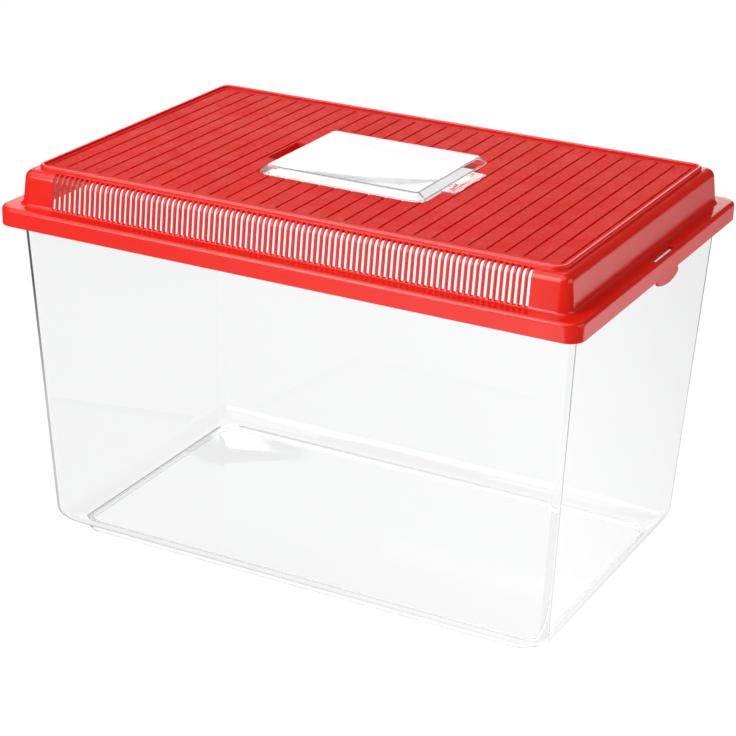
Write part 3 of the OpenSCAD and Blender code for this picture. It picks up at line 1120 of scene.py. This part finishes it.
@dataclass
class Lid:
    """The red lid: skirt, ledge, vented wall, rim, grooved deck and the hatch's recess.

    Attributes:
        width: Length over the skirt.
        depth: Depth over the skirt.
        corner: Radius of the skirt's upright corners.
        skirt_low: Height of the skirt's lower edge.
        ledge_top: Height of the ledge.
        skirt_wall: Thickness of the skirt.
        skirt_edge: Radius between the skirt and the ledge.
        ledge: Width of the ledge.
        wall: Thickness of everything above the skirt.
        dome_corner: Radius of the vented wall's upright corners.
        foot_radius: Radius between the ledge and the vented wall.
        shoulder_top: Height of the shoulder.
        draft: Angle by which the vented wall leans inwards, in degrees.
        shoulder_radius: Radius between the vented wall and the shoulder.
        shoulder: Width of the shoulder.
        rim: Width of the raised rim.
        rim_top: Height of the rim.
        rim_corner: Radius of the rim's corners.
        deck_top: Height of the deck.
        vent_width: Width of a vent slot.
        vent_pitch: Distance from slot to slot.
        vents_each_way: Slots on each side of the middle one.
        foot_steps: Segments of the radius at the vented wall's foot.
        sill_step: The segment of it at which the slots start.
        groove_pitch: Distance from groove to groove.
        grooves_each_way: Grooves on each side of the middle one.
        groove_width: Width of a groove.
        groove_depth: Depth of a groove.
        groove_gap: Distance between a groove's end and the rim.
        groove_edge: Softness of a groove's upper edges.
        slot_edge: Softness of the edges of the slots and windows.
        window_turn: Angle of the skirt edge's radius at which a window starts, in degrees.
        recess: Width, depth and corner radius of the hatch's recess.
        recess_edge: Softness of its upper edge.
        well_reach: How far in from its edge the solid round the recess is capped.
        seat_top: Height of the seat under the hatch.
        seat_width: Width of the seat.
        seat_start: X at which the seat starts, beside the hinge.
        notches: For each notch beside the recess, its side, reach and width.
        notch_low: Height of the notches' floor.
        notch_corner: Radius of the notches' upright corners.
        notch_edge: Softness of the notches' upper edges.
        hinge: X and Z of the hatch's hinge.
        socket_radius: Radius of a hinge socket.
        socket_depth: Depth of a hinge socket.
        socket_boss: Half the width of the boss round a socket, and its wall behind it.
        clip: The clips at the two ends.
        finish: The lid's plastic.
        deck_finish: The plastic of the deck, which has a moulded grain.
    """

    width: float = 460.0
    depth: float = 306.6
    corner: float = 12.0
    skirt_low: float = 256.4
    ledge_top: float = 270.4
    skirt_wall: float = 2.2
    skirt_edge: float = 3.0
    ledge: float = 11.7
    wall: float = 2.2
    dome_corner: float = 9.5
    foot_radius: float = 2.5
    shoulder_top: float = 296.5
    draft: float = 6.5
    shoulder_radius: float = 6.5
    shoulder: float = 6.85
    rim: float = 2.8
    rim_top: float = 299.5
    rim_corner: float = 9.0
    deck_top: float = 298.0
    vent_width: float = 2.6
    vent_pitch: float = 4.35
    vents_each_way: int = 43
    foot_steps: int = 5
    sill_step: int = 3
    groove_pitch: float = 13.45
    grooves_each_way: int = 15
    groove_width: float = 1.5
    groove_depth: float = 0.95
    groove_gap: float = 8.0
    groove_edge: float = 0.2
    slot_edge: float = 0.25
    window_turn: float = 75.0
    recess: tuple[float, float, float] = (138.0, 118.0, 10.3)
    recess_edge: float = 0.5
    well_reach: float = 30.0
    seat_top: float = 294.2
    seat_width: float = 4.5
    seat_start: float = -55.2
    notches: tuple[tuple[int, float, float], ...] = ((-1, 9.0, 44.4), (1, 10.4, 53.0))
    notch_low: float = 292.5
    notch_corner: float = 1.0
    notch_edge: float = 0.25
    hinge: tuple[float, float] = HINGE_AXIS
    socket_radius: float = 1.28
    socket_depth: float = 2.2
    socket_boss: tuple[float, float] = (3.5, 2.0)
    clip: EndClip = field(default_factory=EndClip)
    finish: RedPlastic = field(default_factory=RedPlastic)
    deck_finish: RedPlastic = field(
        default_factory=lambda: RedPlastic(
            colour=(0.88, 0.017, 0.007),
            drift=(0.84, 0.012, 0.006),
            gloss=(0.42, 0.55),
            shine=0.04,
            mottle=0.34,
            grain=900.0,
            grain_height=0.09,
        )
    )

    def lean(self) -> float:
        """How far the vented wall leans inwards per unit of height."""
        return math.tan(math.radians(self.draft))

    def rim_inset(self) -> float:
        """Distance of the rim's outer face inside the skirt's face."""
        return self.ledge + (self.shoulder_top - self.ledge_top) * self.lean() + self.shoulder

    def vent_spans(self) -> list[tuple[float, float]]:
        """Spaces the vent slots.

        Returns:
            The lower and upper X of every slot.
        """
        half = self.vent_width / 2
        middles = [n * self.vent_pitch for n in range(-self.vents_each_way, self.vents_each_way + 1)]
        return [(middle - half, middle + half) for middle in middles]

    def wall_point(self, height: float, thickness: float = 0.0) -> Corner:
        """Finds a plain point on the vented wall.

        Args:
            height: The point's height.
            thickness: How far it lies inside the wall's outer face.

        Returns:
            The point.
        """
        rise = height - self.ledge_top + self.wall
        inward = rise * self.lean() + thickness / math.cos(math.radians(self.draft))
        return Corner(self.ledge + inward, height, self.dome_corner - inward)

    def sill_levels(self) -> list[float]:
        """Finds the rings of the foot's radius at which the slots start and above.

        Returns:
            Their heights, upwards.
        """
        turn = 90 - self.draft
        steps = range(self.sill_step, self.foot_steps + 1)
        angles = [math.radians(90 - turn * step / self.foot_steps) for step in steps]
        return [self.ledge_top + self.foot_radius * (1 - math.sin(a)) for a in angles]

    def section(self) -> list[Corner]:
        """Draws the section of everything from the skirt up to the rim.

        Returns:
            Its corners, once round.
        """
        rim = self.rim_inset()
        under = self.shoulder_top - self.wall
        inner = self.skirt_wall
        inner_corner = self.corner - inner
        ledge_low = self.ledge_top - self.wall
        foot, top = self.wall_point(self.ledge_top), self.wall_point(self.shoulder_top)
        in_top, in_foot = self.wall_point(under, self.wall), self.wall_point(ledge_low, self.wall)
        edge, lean_root = self.skirt_edge, self.skirt_low + 2
        return [
            Corner(0, self.skirt_low, self.corner, 0.5),
            Corner(0, lean_root, self.corner),
            Corner(0, self.ledge_top, self.corner, edge, 6),
            Corner(inner + self.clip.window_width, self.ledge_top, self.corner - edge),
            Corner(foot.inset, foot.height, foot.radius, self.foot_radius, self.foot_steps),
            Corner(top.inset, top.height, top.radius, self.shoulder_radius, 8),
            Corner(rim, self.shoulder_top, self.rim_corner, 0.3),
            Corner(rim, self.rim_top, self.rim_corner, 1.2, 4),
            Corner(rim + self.rim, self.rim_top, self.rim_corner - self.rim, 0.8),
            Corner(rim + self.rim, under, self.rim_corner - self.rim, 0.3),
            Corner(in_top.inset, in_top.height, in_top.radius, self.shoulder_radius - self.wall, 8),
            *(self.wall_point(height, self.wall) for height in reversed(self.sill_levels())),
            Corner(in_foot.inset, in_foot.height, in_foot.radius, 0.5),
            Corner(inner + self.clip.window_width, ledge_low, inner_corner),
            Corner(inner, ledge_low, inner_corner, 0.8, 2),
            Corner(inner, lean_root, inner_corner),
            Corner(inner, self.skirt_low, inner_corner, 0.5),
        ]

    def shell(self) -> bmesh.types.BMesh:
        """Makes the skirt, ledge, vented wall, shoulder and rim in one.

        Returns:
            The shell.
        """
        spans = self.vent_spans()
        slots = tuple(x for span in spans for x in span)
        ends = self.clip.marks()
        marks = {Side.FRONT: slots, Side.BACK: slots, Side.RIGHT: ends, Side.LEFT: ends}
        outline = Outline(self.width, self.depth, marks=marks)
        sweep = Sweep(outline, section(self.section(), closed=True), closed=True)
        self.hang_tongues(sweep)
        under, ledge_low = self.shoulder_top - self.wall, self.ledge_top - self.wall
        sill = self.wall_point(self.sill_levels()[0])
        low_in = self.wall_point(sill.height, self.wall)
        round_reach = self.shoulder_radius * math.tan(math.radians(45 - self.draft / 2))
        flat = self.wall_point(self.shoulder_top).inset + round_reach
        outer = (sweep.nearest(sill.inset - 0.5, sill.height), sweep.nearest(flat, self.shoulder_top))
        inner = (sweep.nearest(flat, under), sweep.nearest(low_in.inset, low_in.height))
        mouths = []
        for side in (Side.FRONT, Side.BACK):
            mouths += sweep.punch(side, spans, outer, inner)
        window_in = self.skirt_wall + self.clip.window_width
        half = self.clip.window_length / 2
        window = [(self.clip.centre - half, self.clip.centre + half)]
        opens = math.radians(self.window_turn)
        sunk = self.skirt_edge * (1 - math.cos(opens))
        above = self.ledge_top - self.skirt_edge * (1 - math.sin(opens))
        top = (sweep.nearest(sunk, above), sweep.nearest(window_in, self.ledge_top))
        below = (sweep.nearest(window_in, ledge_low), sweep.nearest(self.skirt_wall, ledge_low - 0.8))
        for side in (Side.RIGHT, Side.LEFT):
            mouths += sweep.punch(side, window, top, below)
        round_edges(sweep.bm, [e for e in mouths if e.is_valid], self.slot_edge)
        return sweep.bm

    def hang_tongues(self, sweep: Sweep) -> None:
        """Draws the skirt's lower edge down and outwards into the two clip tongues.

        Args:
            sweep: The shell's sweep, which is changed.
        """
        total = self.clip.drop + self.clip.sag
        for vert in sweep.bm.verts:
            side, mark, on_corner = sweep.ring[vert[sweep.station]]
            low = sweep.levels[vert[sweep.level]].height < self.skirt_low + 1
            if on_corner or side not in (Side.RIGHT, Side.LEFT) or not low:
                continue
            hang = self.clip.depth(mark)
            vert.co.z -= hang * MM
            vert.co.x += math.copysign(self.clip.flare * hang / total, vert.co.x) * MM

    def ridges(self) -> bmesh.types.BMesh:
        """Makes the two catching ridges inside the ends of the skirt.

        Returns:
            Both ridges.
        """
        reach, height = self.clip.ridge
        face = self.width / 2 - self.skirt_wall
        half = self.clip.window_length / 2
        low, high = self.clip.centre - half, self.clip.centre + half
        parts = []
        for sign in (-1, 1):
            left, right = sorted((sign * (face - reach), sign * (face + OVERLAP)))
            parts.append(block((left, low, self.skirt_low), (right, high, self.skirt_low + height), 0.3))
        return gather(parts)

    def mouth(
        self, low: float, high: float, size: tuple[float, float, float], flare: float
    ) -> bmesh.types.BMesh:
        """A rounded-rectangle tool that widens at the deck, which leaves a soft edge there.

        Args:
            low: Height of its lower face.
            high: Height of the surface that it opens in.
            size: Its width, depth and corner radius.
            flare: Radius of the soft edge.

        Returns:
            The tool.
        """
        width, depth, radius = size
        rings = [Level(0, low, radius)]
        for n in range(4):
            angle = math.radians(30 * n)
            out = flare * (1 - math.cos(angle))
            rings.append(Level(-out, high - flare + flare * math.sin(angle), radius + out))
        rings.append(Level(-flare, high + 2, radius + flare))
        return Sweep(Outline(width, depth), rings, closed=False).bm

    def deck(self) -> bmesh.types.BMesh:
        """Makes the grooved deck with the recess, the feeding opening, the notches and the sockets.

        Returns:
            The deck.
        """
        edge = self.rim_inset() + self.rim / 2
        corner = self.rim_corner - self.rim / 2
        under = self.deck_top - self.wall
        plate = slab(self.width - 2 * edge, self.depth - 2 * edge, corner, under, self.deck_top)
        return combine(plate, self.deck_joins() + self.deck_cuts())

    def deck_joins(self) -> list[tuple[Cut, bmesh.types.BMesh]]:
        """Makes what hangs under the deck: the recess's walls, the notches' and the socket bosses.

        Returns:
            The solids that are joined to the deck.
        """
        long, wide, radius = self.recess
        well_low, grow, sink = self.seat_top - self.wall, 2 * self.wall, self.deck_top - OVERLAP
        corners = [
            Corner(self.well_reach, well_low, 2),
            Corner(0, well_low, radius + self.wall, 0.6),
            Corner(0, sink, radius + self.wall),
            Corner(self.well_reach, sink, 2),
        ]
        well = Sweep(Outline(long + grow, wide + grow), section(corners, closed=False), closed=False)
        joined = [(Cut.JOIN, well.bm)]
        for sign, reach, width in self.notches:
            left, right = sorted((sign * (long / 2 + reach + self.wall), sign * (long / 2 - OVERLAP)))
            half = width / 2 + self.wall
            low = (left, -half, self.notch_low - self.wall)
            joined.append((Cut.JOIN, block(low, (right, half, sink), 0.4)))
        hinge_x = self.hinge[0]
        half, behind = self.socket_boss
        for sign in (-1, 1):
            end = wide / 2 + self.socket_depth + behind
            near, far = sorted((sign * (wide / 2 + OVERLAP), sign * end))
            boss = block((hinge_x - half, near, well_low), (hinge_x + half, far, sink), 0.4)
            joined.append((Cut.JOIN, boss))
        return joined

    def deck_cuts(self) -> list[tuple[Cut, bmesh.types.BMesh]]:
        """Makes the tools for the grooves, the recess, the feeding opening, the notches and the sockets.

        Returns:
            The solids that are carved out of the deck.
        """
        long, wide, _ = self.recess
        hinge_x, hinge_z = self.hinge
        carved = [
            (Cut.CARVE, self.grooves()),
            (Cut.CARVE, self.mouth(self.seat_top, self.deck_top, self.recess, self.recess_edge)),
            (Cut.CARVE, self.feeding_opening()),
        ]
        for sign, reach, width in self.notches:
            size = (2 * reach, width, self.notch_corner)
            notch = self.mouth(self.notch_low, self.deck_top, size, self.notch_edge)
            bmesh.ops.translate(notch, verts=notch.verts, vec=Vector((sign * long / 2 * MM, 0, 0)))
            carved.append((Cut.CARVE, notch))
        for sign in (-1, 1):
            middle = sign * (wide / 2 - OVERLAP + (self.socket_depth + OVERLAP) / 2)
            socket = rod((hinge_x, middle, hinge_z), self.socket_radius, self.socket_depth + OVERLAP)
            carved.append((Cut.CARVE, socket))
        return carved

    def feeding_opening(self) -> bmesh.types.BMesh:
        """Makes the tool for the opening inside the seat, as wide as the recess at the hinge's end.

        Returns:
            The tool.
        """
        long, wide, radius = self.recess
        low, high = self.notch_low - 2 * self.wall, self.seat_top + OVERLAP
        right = long / 2 - self.seat_width
        inner = radius - self.seat_width
        hole = slab(right + long / 2, wide - 2 * self.seat_width, inner, low, high)
        bmesh.ops.translate(hole, verts=hole.verts, vec=Vector(((right - long / 2) / 2 * MM, 0, 0)))
        seat = block((self.seat_start, -wide, low - OVERLAP), (long, wide, high + OVERLAP))
        tail = combine(slab(long, wide, radius, low, high), [(Cut.CARVE, seat)])
        return combine(hole, [(Cut.JOIN, tail)])

    def grooves(self) -> bmesh.types.BMesh:
        """Makes the tools for all the grooves, each with soft upper edges and a round bottom.

        Returns:
            All the tools.
        """
        inner = self.rim_inset() + self.rim
        half_length = self.depth / 2 - inner - self.groove_gap
        half, soft = self.groove_width / 2, self.groove_edge
        mouth = (self.deck_top - soft) * MM - HEIGHT_SLACK
        parts = []
        for n in range(-self.grooves_each_way, self.grooves_each_way + 1):
            x = n * self.groove_pitch
            low = (x - half, -half_length, self.deck_top - self.groove_depth)
            tool = block(low, (x + half, half_length, self.deck_top - soft))
            bottom = [e for e in tool.edges if all(v.co.z < mouth for v in e.verts)]
            along = [e for e in bottom if abs(e.verts[0].co.x - e.verts[1].co.x) < POINT_SLACK]
            round_edges(tool, along, half * 0.6)
            top = [f for f in tool.faces if f.normal.z > 0.9]
            grown = bmesh.ops.extrude_face_region(tool, geom=top)["geom"]
            bmesh.ops.delete(tool, geom=top, context="FACES_ONLY")
            for vert in (item for item in grown if isinstance(item, bmesh.types.BMVert)):
                vert.co.x += math.copysign(soft * MM, vert.co.x - x * MM)
                vert.co.z += 2 * soft * MM
            parts.append(tool)
        return gather(parts)

    def build(self) -> list[bpy.types.Object]:
        """Makes the lid.

        Returns:
            Its pieces.
        """
        gloss = self.finish.build("red_lid_plastic")
        grained = self.deck_finish.build("grained_red_deck")
        return [
            add_piece("lid_shell", self.shell(), gloss, "lid"),
            add_piece("lid_deck", self.deck(), grained, "lid", 20.0),
            add_piece("lid_clip_ridges", self.ridges(), gloss, "lid"),
        ]


@dataclass
class Hatch:
    """The clear hatch: a shallow dome with a latch tab, a catch rib and two hinge pins.

    Attributes:
        width: Length of the dome.
        depth: Depth of the dome.
        low: Height of its lower edge.
        height: Its own height.
        corner: Radius of its upright corners.
        wall: Its thickness.
        edge_height: Height of its upright edge.
        slope_width: Width of the slope from that edge to its top.
        hinge: X and Z of its hinge.
        pin_radius: Radius of a hinge pin.
        pin_end: Y at which a pin ends.
        tab_width: Width of the latch tab.
        tab_reach: How far the tab stands out.
        tab: Thickness of the tab.
        tab_low: Height of the tab's lower face.
        tab_corner: Radius of the tab's outer corners.
        tab_edge: Softness of the tab's edges.
        springs: Y of the middles of the tab's two slots.
        spring: Width and length of such a slot.
        rib: X of the catch rib, its thickness and its length.
        rib_low: Height of the rib's lower edge.
        boss_radius: Radius of the bosses inside the dome, at the pins.
        boss_length: Length of those bosses.
        finish: The hatch's plastic.
    """

    width: float = 134.4
    depth: float = 114.4
    low: float = 294.5
    height: float = 8.5
    corner: float = 8.5
    wall: float = 1.8
    edge_height: float = 3.9
    slope_width: float = 5.8
    hinge: tuple[float, float] = HINGE_AXIS
    pin_radius: float = 1.2
    pin_end: float = 60.6
    tab_width: float = 52.0
    tab_reach: float = 11.7
    tab: float = 1.6
    tab_low: float = 296.6
    tab_corner: float = 1.5
    tab_edge: float = 0.35
    springs: tuple[float, float] = (-9.6, 18.8)
    spring: tuple[float, float] = (3.0, 9.0)
    rib: tuple[float, float, float] = (74.22, 1.6, 34.0)
    rib_low: float = 294.2
    boss_radius: float = 1.65
    boss_length: float = 4.0
    # The hatch's painted edge shade is one even grey glow.
    finish: ClearPlastic = field(
        default_factory=lambda: ClearPlastic(tint=(0.985, 0.988, 0.992), painted_edge_greys=(0.4, 0.4))
    )

    def section(self) -> list[Corner]:
        """Draws the section of the hatch's side.

        Returns:
            Its corners, from the middle of the top round the lower edge to the middle inside.
        """
        rise = self.height - self.edge_height
        lean = math.atan2(self.slope_width, rise)
        inner_edge = self.edge_height - self.wall * math.tan(lean / 2)
        inner_slope = self.slope_width + self.wall * math.tan((math.pi / 2 - lean) / 2)
        corner, wall, low = self.corner, self.wall, self.low
        middle = 3 * self.slope_width
        return [
            Corner(middle, low + self.height, 1.0),
            Corner(self.slope_width, low + self.height, corner - self.slope_width, 1.3, 4),
            Corner(0, low + self.edge_height, corner, 0.7),
            Corner(0, low, corner, 0.4),
            Corner(wall, low, corner - wall, 0.4),
            Corner(wall, low + inner_edge, corner - wall, 0.5),
            Corner(inner_slope, low + self.height - wall, corner - inner_slope, 1.0, 4, -0.8),
            Corner(middle, low + self.height - wall, 1.0),
        ]

    def latch(self) -> bmesh.types.BMesh:
        """Makes the latch tab with its two slots and the rib that snaps into the notch.

        Returns:
            The tab.
        """
        half, edge = self.tab_width / 2, self.width / 2
        root, tab_high = edge - self.wall / 2, self.tab_low + self.tab
        tab = block((root, -half, self.tab_low), (edge + self.tab_reach, half, tab_high))
        outer = [e for e in tab.edges if all(v.co.x > edge * MM for v in e.verts)]
        uprights = [e for e in outer if abs(e.verts[0].co.z - e.verts[1].co.z) > HEIGHT_SLACK]
        round_edges(tab, uprights, self.tab_corner, 4)
        level = [e for e in tab.edges if abs(e.verts[0].co.z - e.verts[1].co.z) < HEIGHT_SLACK]
        rims = [e for e in level if max(v.co.x for v in e.verts) > (edge + OVERLAP) * MM]
        round_edges(tab, rims, self.tab_edge)
        x, thick, length = self.rib
        rib_high = (x + thick / 2, length / 2, self.tab_low + 0.5)
        steps = [(Cut.JOIN, block((x - thick / 2, -length / 2, self.rib_low), rib_high, 0.3))]
        start, (wide, long) = edge + 1, self.spring
        for y in self.springs:
            slot_low = (start, y - long / 2, self.tab_low - OVERLAP)
            slot_high = (start + wide, y + long / 2, tab_high + OVERLAP)
            steps.append((Cut.CARVE, block(slot_low, slot_high)))
        return combine(tab, steps)

    def build(self) -> list[bpy.types.Object]:
        """Makes the hatch.

        Returns:
            Its one piece.
        """
        outline = Outline(self.width, self.depth)
        dome = Sweep(outline, section(self.section(), closed=False), closed=False)
        joined = [(Cut.JOIN, self.latch())]
        hinge_x, hinge_z = self.hinge
        start = self.depth / 2 - self.wall / 2
        for sign in (-1, 1):
            middle = (hinge_x, sign * (start + self.pin_end) / 2, hinge_z)
            joined.append((Cut.JOIN, rod(middle, self.pin_radius, self.pin_end - start, 0.2)))
            inside = (hinge_x, sign * (start - self.boss_length / 2), hinge_z)
            joined.append((Cut.JOIN, rod(inside, self.boss_radius, self.boss_length, 0.3)))
        finish = self.finish.build("clear_hatch_plastic")
        return [add_piece("hatch_cover", combine(dome.bm, joined), finish, "hatch", 30.0)]


# ------------------------------------------------------------------ studio


def direction(azimuth: float, elevation: float) -> Vector:
    """Finds a direction in space.

    Args:
        azimuth: Its angle in degrees, from the front towards +X.
        elevation: Its height above the horizon, in degrees.

    Returns:
        It as a vector of length 1.
    """
    a, e = math.radians(azimuth), math.radians(elevation)
    return Vector((math.sin(a) * math.cos(e), -math.cos(a) * math.cos(e), math.sin(e)))


@dataclass(frozen=True)
class Softbox:
    """A rectangular area light that faces the object.

    Attributes:
        name: Its name.
        azimuth: Its direction in degrees, from the front towards +X.
        elevation: Its height above the horizon, in degrees.
        distance: Its distance from the object, in metres.
        size: Its width and height, in metres.
        radiance: How bright its surface is.
    """

    name: str
    azimuth: float
    elevation: float
    distance: float
    size: tuple[float, float]
    radiance: float

    def build(self, aim: Vector) -> bpy.types.Object:
        """Makes the light.

        Args:
            aim: The point that it faces.

        Returns:
            The light.
        """
        data = bpy.data.lights.new(self.name, "AREA")
        data.shape = "RECTANGLE"
        data.size, data.size_y = self.size
        data.energy = self.radiance * math.pi * self.size[0] * self.size[1]
        light = add_object(self.name, data)
        away = direction(self.azimuth, self.elevation)
        light.location = aim + away * self.distance
        light.rotation_euler = (-away).to_track_quat("-Z", "Y").to_euler()
        light.visible_camera = False
        return light


@dataclass
class Studio:
    """Floor, lights, surroundings and camera.

    Attributes:
        camera_place: Where the camera stands, in millimetres.
        azimuth: Angle in degrees from which it looks, from the front towards +X.
        elevation: Angle above the horizon from which it looks, in degrees.
        roll: How far it is turned about its view, in degrees.
        focal_pixels: Its focal length, in pixels of the picture.
        picture: Width of the picture, in pixels.
        sensor: Width of its sensor, in millimetres.
        clip: Nearest and farthest distance that it sees, in metres.
        floor_size: Width of the floor, in metres.
        world: Brightness of the surroundings for the light that falls on the object.
        refracted_world: Their brightness through clear plastic.
        seen_world: Their brightness in plain view.
        bounces: How often light may bounce, which clear plastic needs a lot of.
        finish: The floor.
        aim: The point that the lights face, in metres.
        lights: The lights.
    """

    camera_place: tuple[float, float, float] = (713.0, -1373.5, 782.1)
    azimuth: float = 27.47
    elevation: float = 22.61
    roll: float = 1.43
    focal_pixels: float = 2198.68
    picture: float = 736.0
    sensor: float = 36.0
    clip: tuple[float, float] = (0.05, 50.0)
    floor_size: float = 12.0
    world: float = 0.08
    refracted_world: float = 0.35
    seen_world: float = 1.0
    bounces: int = 24
    finish: TableTop = field(default_factory=TableTop)
    aim: tuple[float, float, float] = (0.0, 0.0, 0.28)
    lights: tuple[Softbox, ...] = (
        Softbox("key_softbox", -27, 26, 2.4, (0.95, 2.0), 5.8),
        Softbox("upper_softbox", -25, 65, 2.2, (3.0, 2.6), 1.65),
        Softbox("back_softbox", -157, 12.7, 2.6, (1.9, 0.52), 2.6),
        Softbox("backdrop", -144, 36, 2.6, (2.1, 1.6), 1.0),
        Softbox("side_softbox", 98, 16, 2.2, (1.9, 1.0), 1.75),
    )

    def build(self) -> None:
        """Sets up the whole studio."""
        self.make_floor()
        self.make_world()
        for light in self.lights:
            light.build(Vector(self.aim))
        self.make_camera()
        scene = bpy.context.scene
        scene.view_settings.view_transform = "Standard"
        scene.view_settings.look = "None"
        for limit in ("max_bounces", "transmission_bounces", "transparent_max_bounces"):
            setattr(scene.cycles, limit, self.bounces)

    def make_floor(self) -> None:
        """Lays the plain pale floor."""
        bm = bmesh.new()
        bmesh.ops.create_grid(bm, x_segments=1, y_segments=1, size=self.floor_size / 2)
        mesh = mesh_of("floor", bm)
        mesh.materials.append(self.finish.build("pale_floor"))
        floor = add_object("floor", mesh)

    def make_world(self) -> None:
        """Sets the surroundings: white behind the object, grey through clear edges, otherwise dark."""
        world = bpy.data.worlds.new("studio")
        world.use_nodes = True
        tree = world.node_tree
        shade = tree.nodes["Background"]
        shade.inputs["Color"].default_value = (1.0, 1.0, 1.0, 1.0)
        path = tree.nodes.new("ShaderNodeLightPath")
        through = tree.nodes.new("ShaderNodeMix")
        through.inputs["A"].default_value = self.world
        through.inputs["B"].default_value = self.refracted_world
        tree.links.new(path.outputs["Is Transmission Ray"], through.inputs["Factor"])
        seen = tree.nodes.new("ShaderNodeMix")
        seen.inputs["B"].default_value = self.seen_world
        tree.links.new(through.outputs["Result"], seen.inputs["A"])
        tree.links.new(path.outputs["Is Camera Ray"], seen.inputs["Factor"])
        tree.links.new(seen.outputs["Result"], shade.inputs["Strength"])
        bpy.context.scene.world = world

    def make_camera(self) -> None:
        """Places the camera."""
        data = bpy.data.cameras.new("camera")
        data.sensor_width = self.sensor
        data.sensor_fit = "HORIZONTAL"
        data.lens = self.focal_pixels / self.picture * self.sensor
        data.clip_start, data.clip_end = self.clip
        camera = add_object("camera", data)
        r = math.radians(self.roll)
        back = direction(self.azimuth, self.elevation)
        right = Vector((0, 0, 1)).cross(back).normalized()
        up = back.cross(right)
        across = right * math.cos(r) + up * math.sin(r)
        upright = up * math.cos(r) - right * math.sin(r)
        turn = Matrix((across, upright, back)).transposed().to_4x4()
        camera.matrix_world = Matrix.Translation(Vector(self.camera_place) * MM) @ turn
        bpy.context.scene.camera = camera


def main() -> None:
    """Builds the studio and the keeper, and logs how many pieces were made."""
    logging.basicConfig(level=logging.INFO, format="%(name)s: %(message)s")
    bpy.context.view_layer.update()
    Studio().build()
    pieces: list[bpy.types.Object] = []
    for part in (Tub(), Lid(), Hatch()):
        pieces += part.build()
    LOG.info("%d pieces in all", len(pieces))
    bpy.context.view_layer.update()


if __name__ == "__main__":
    main()
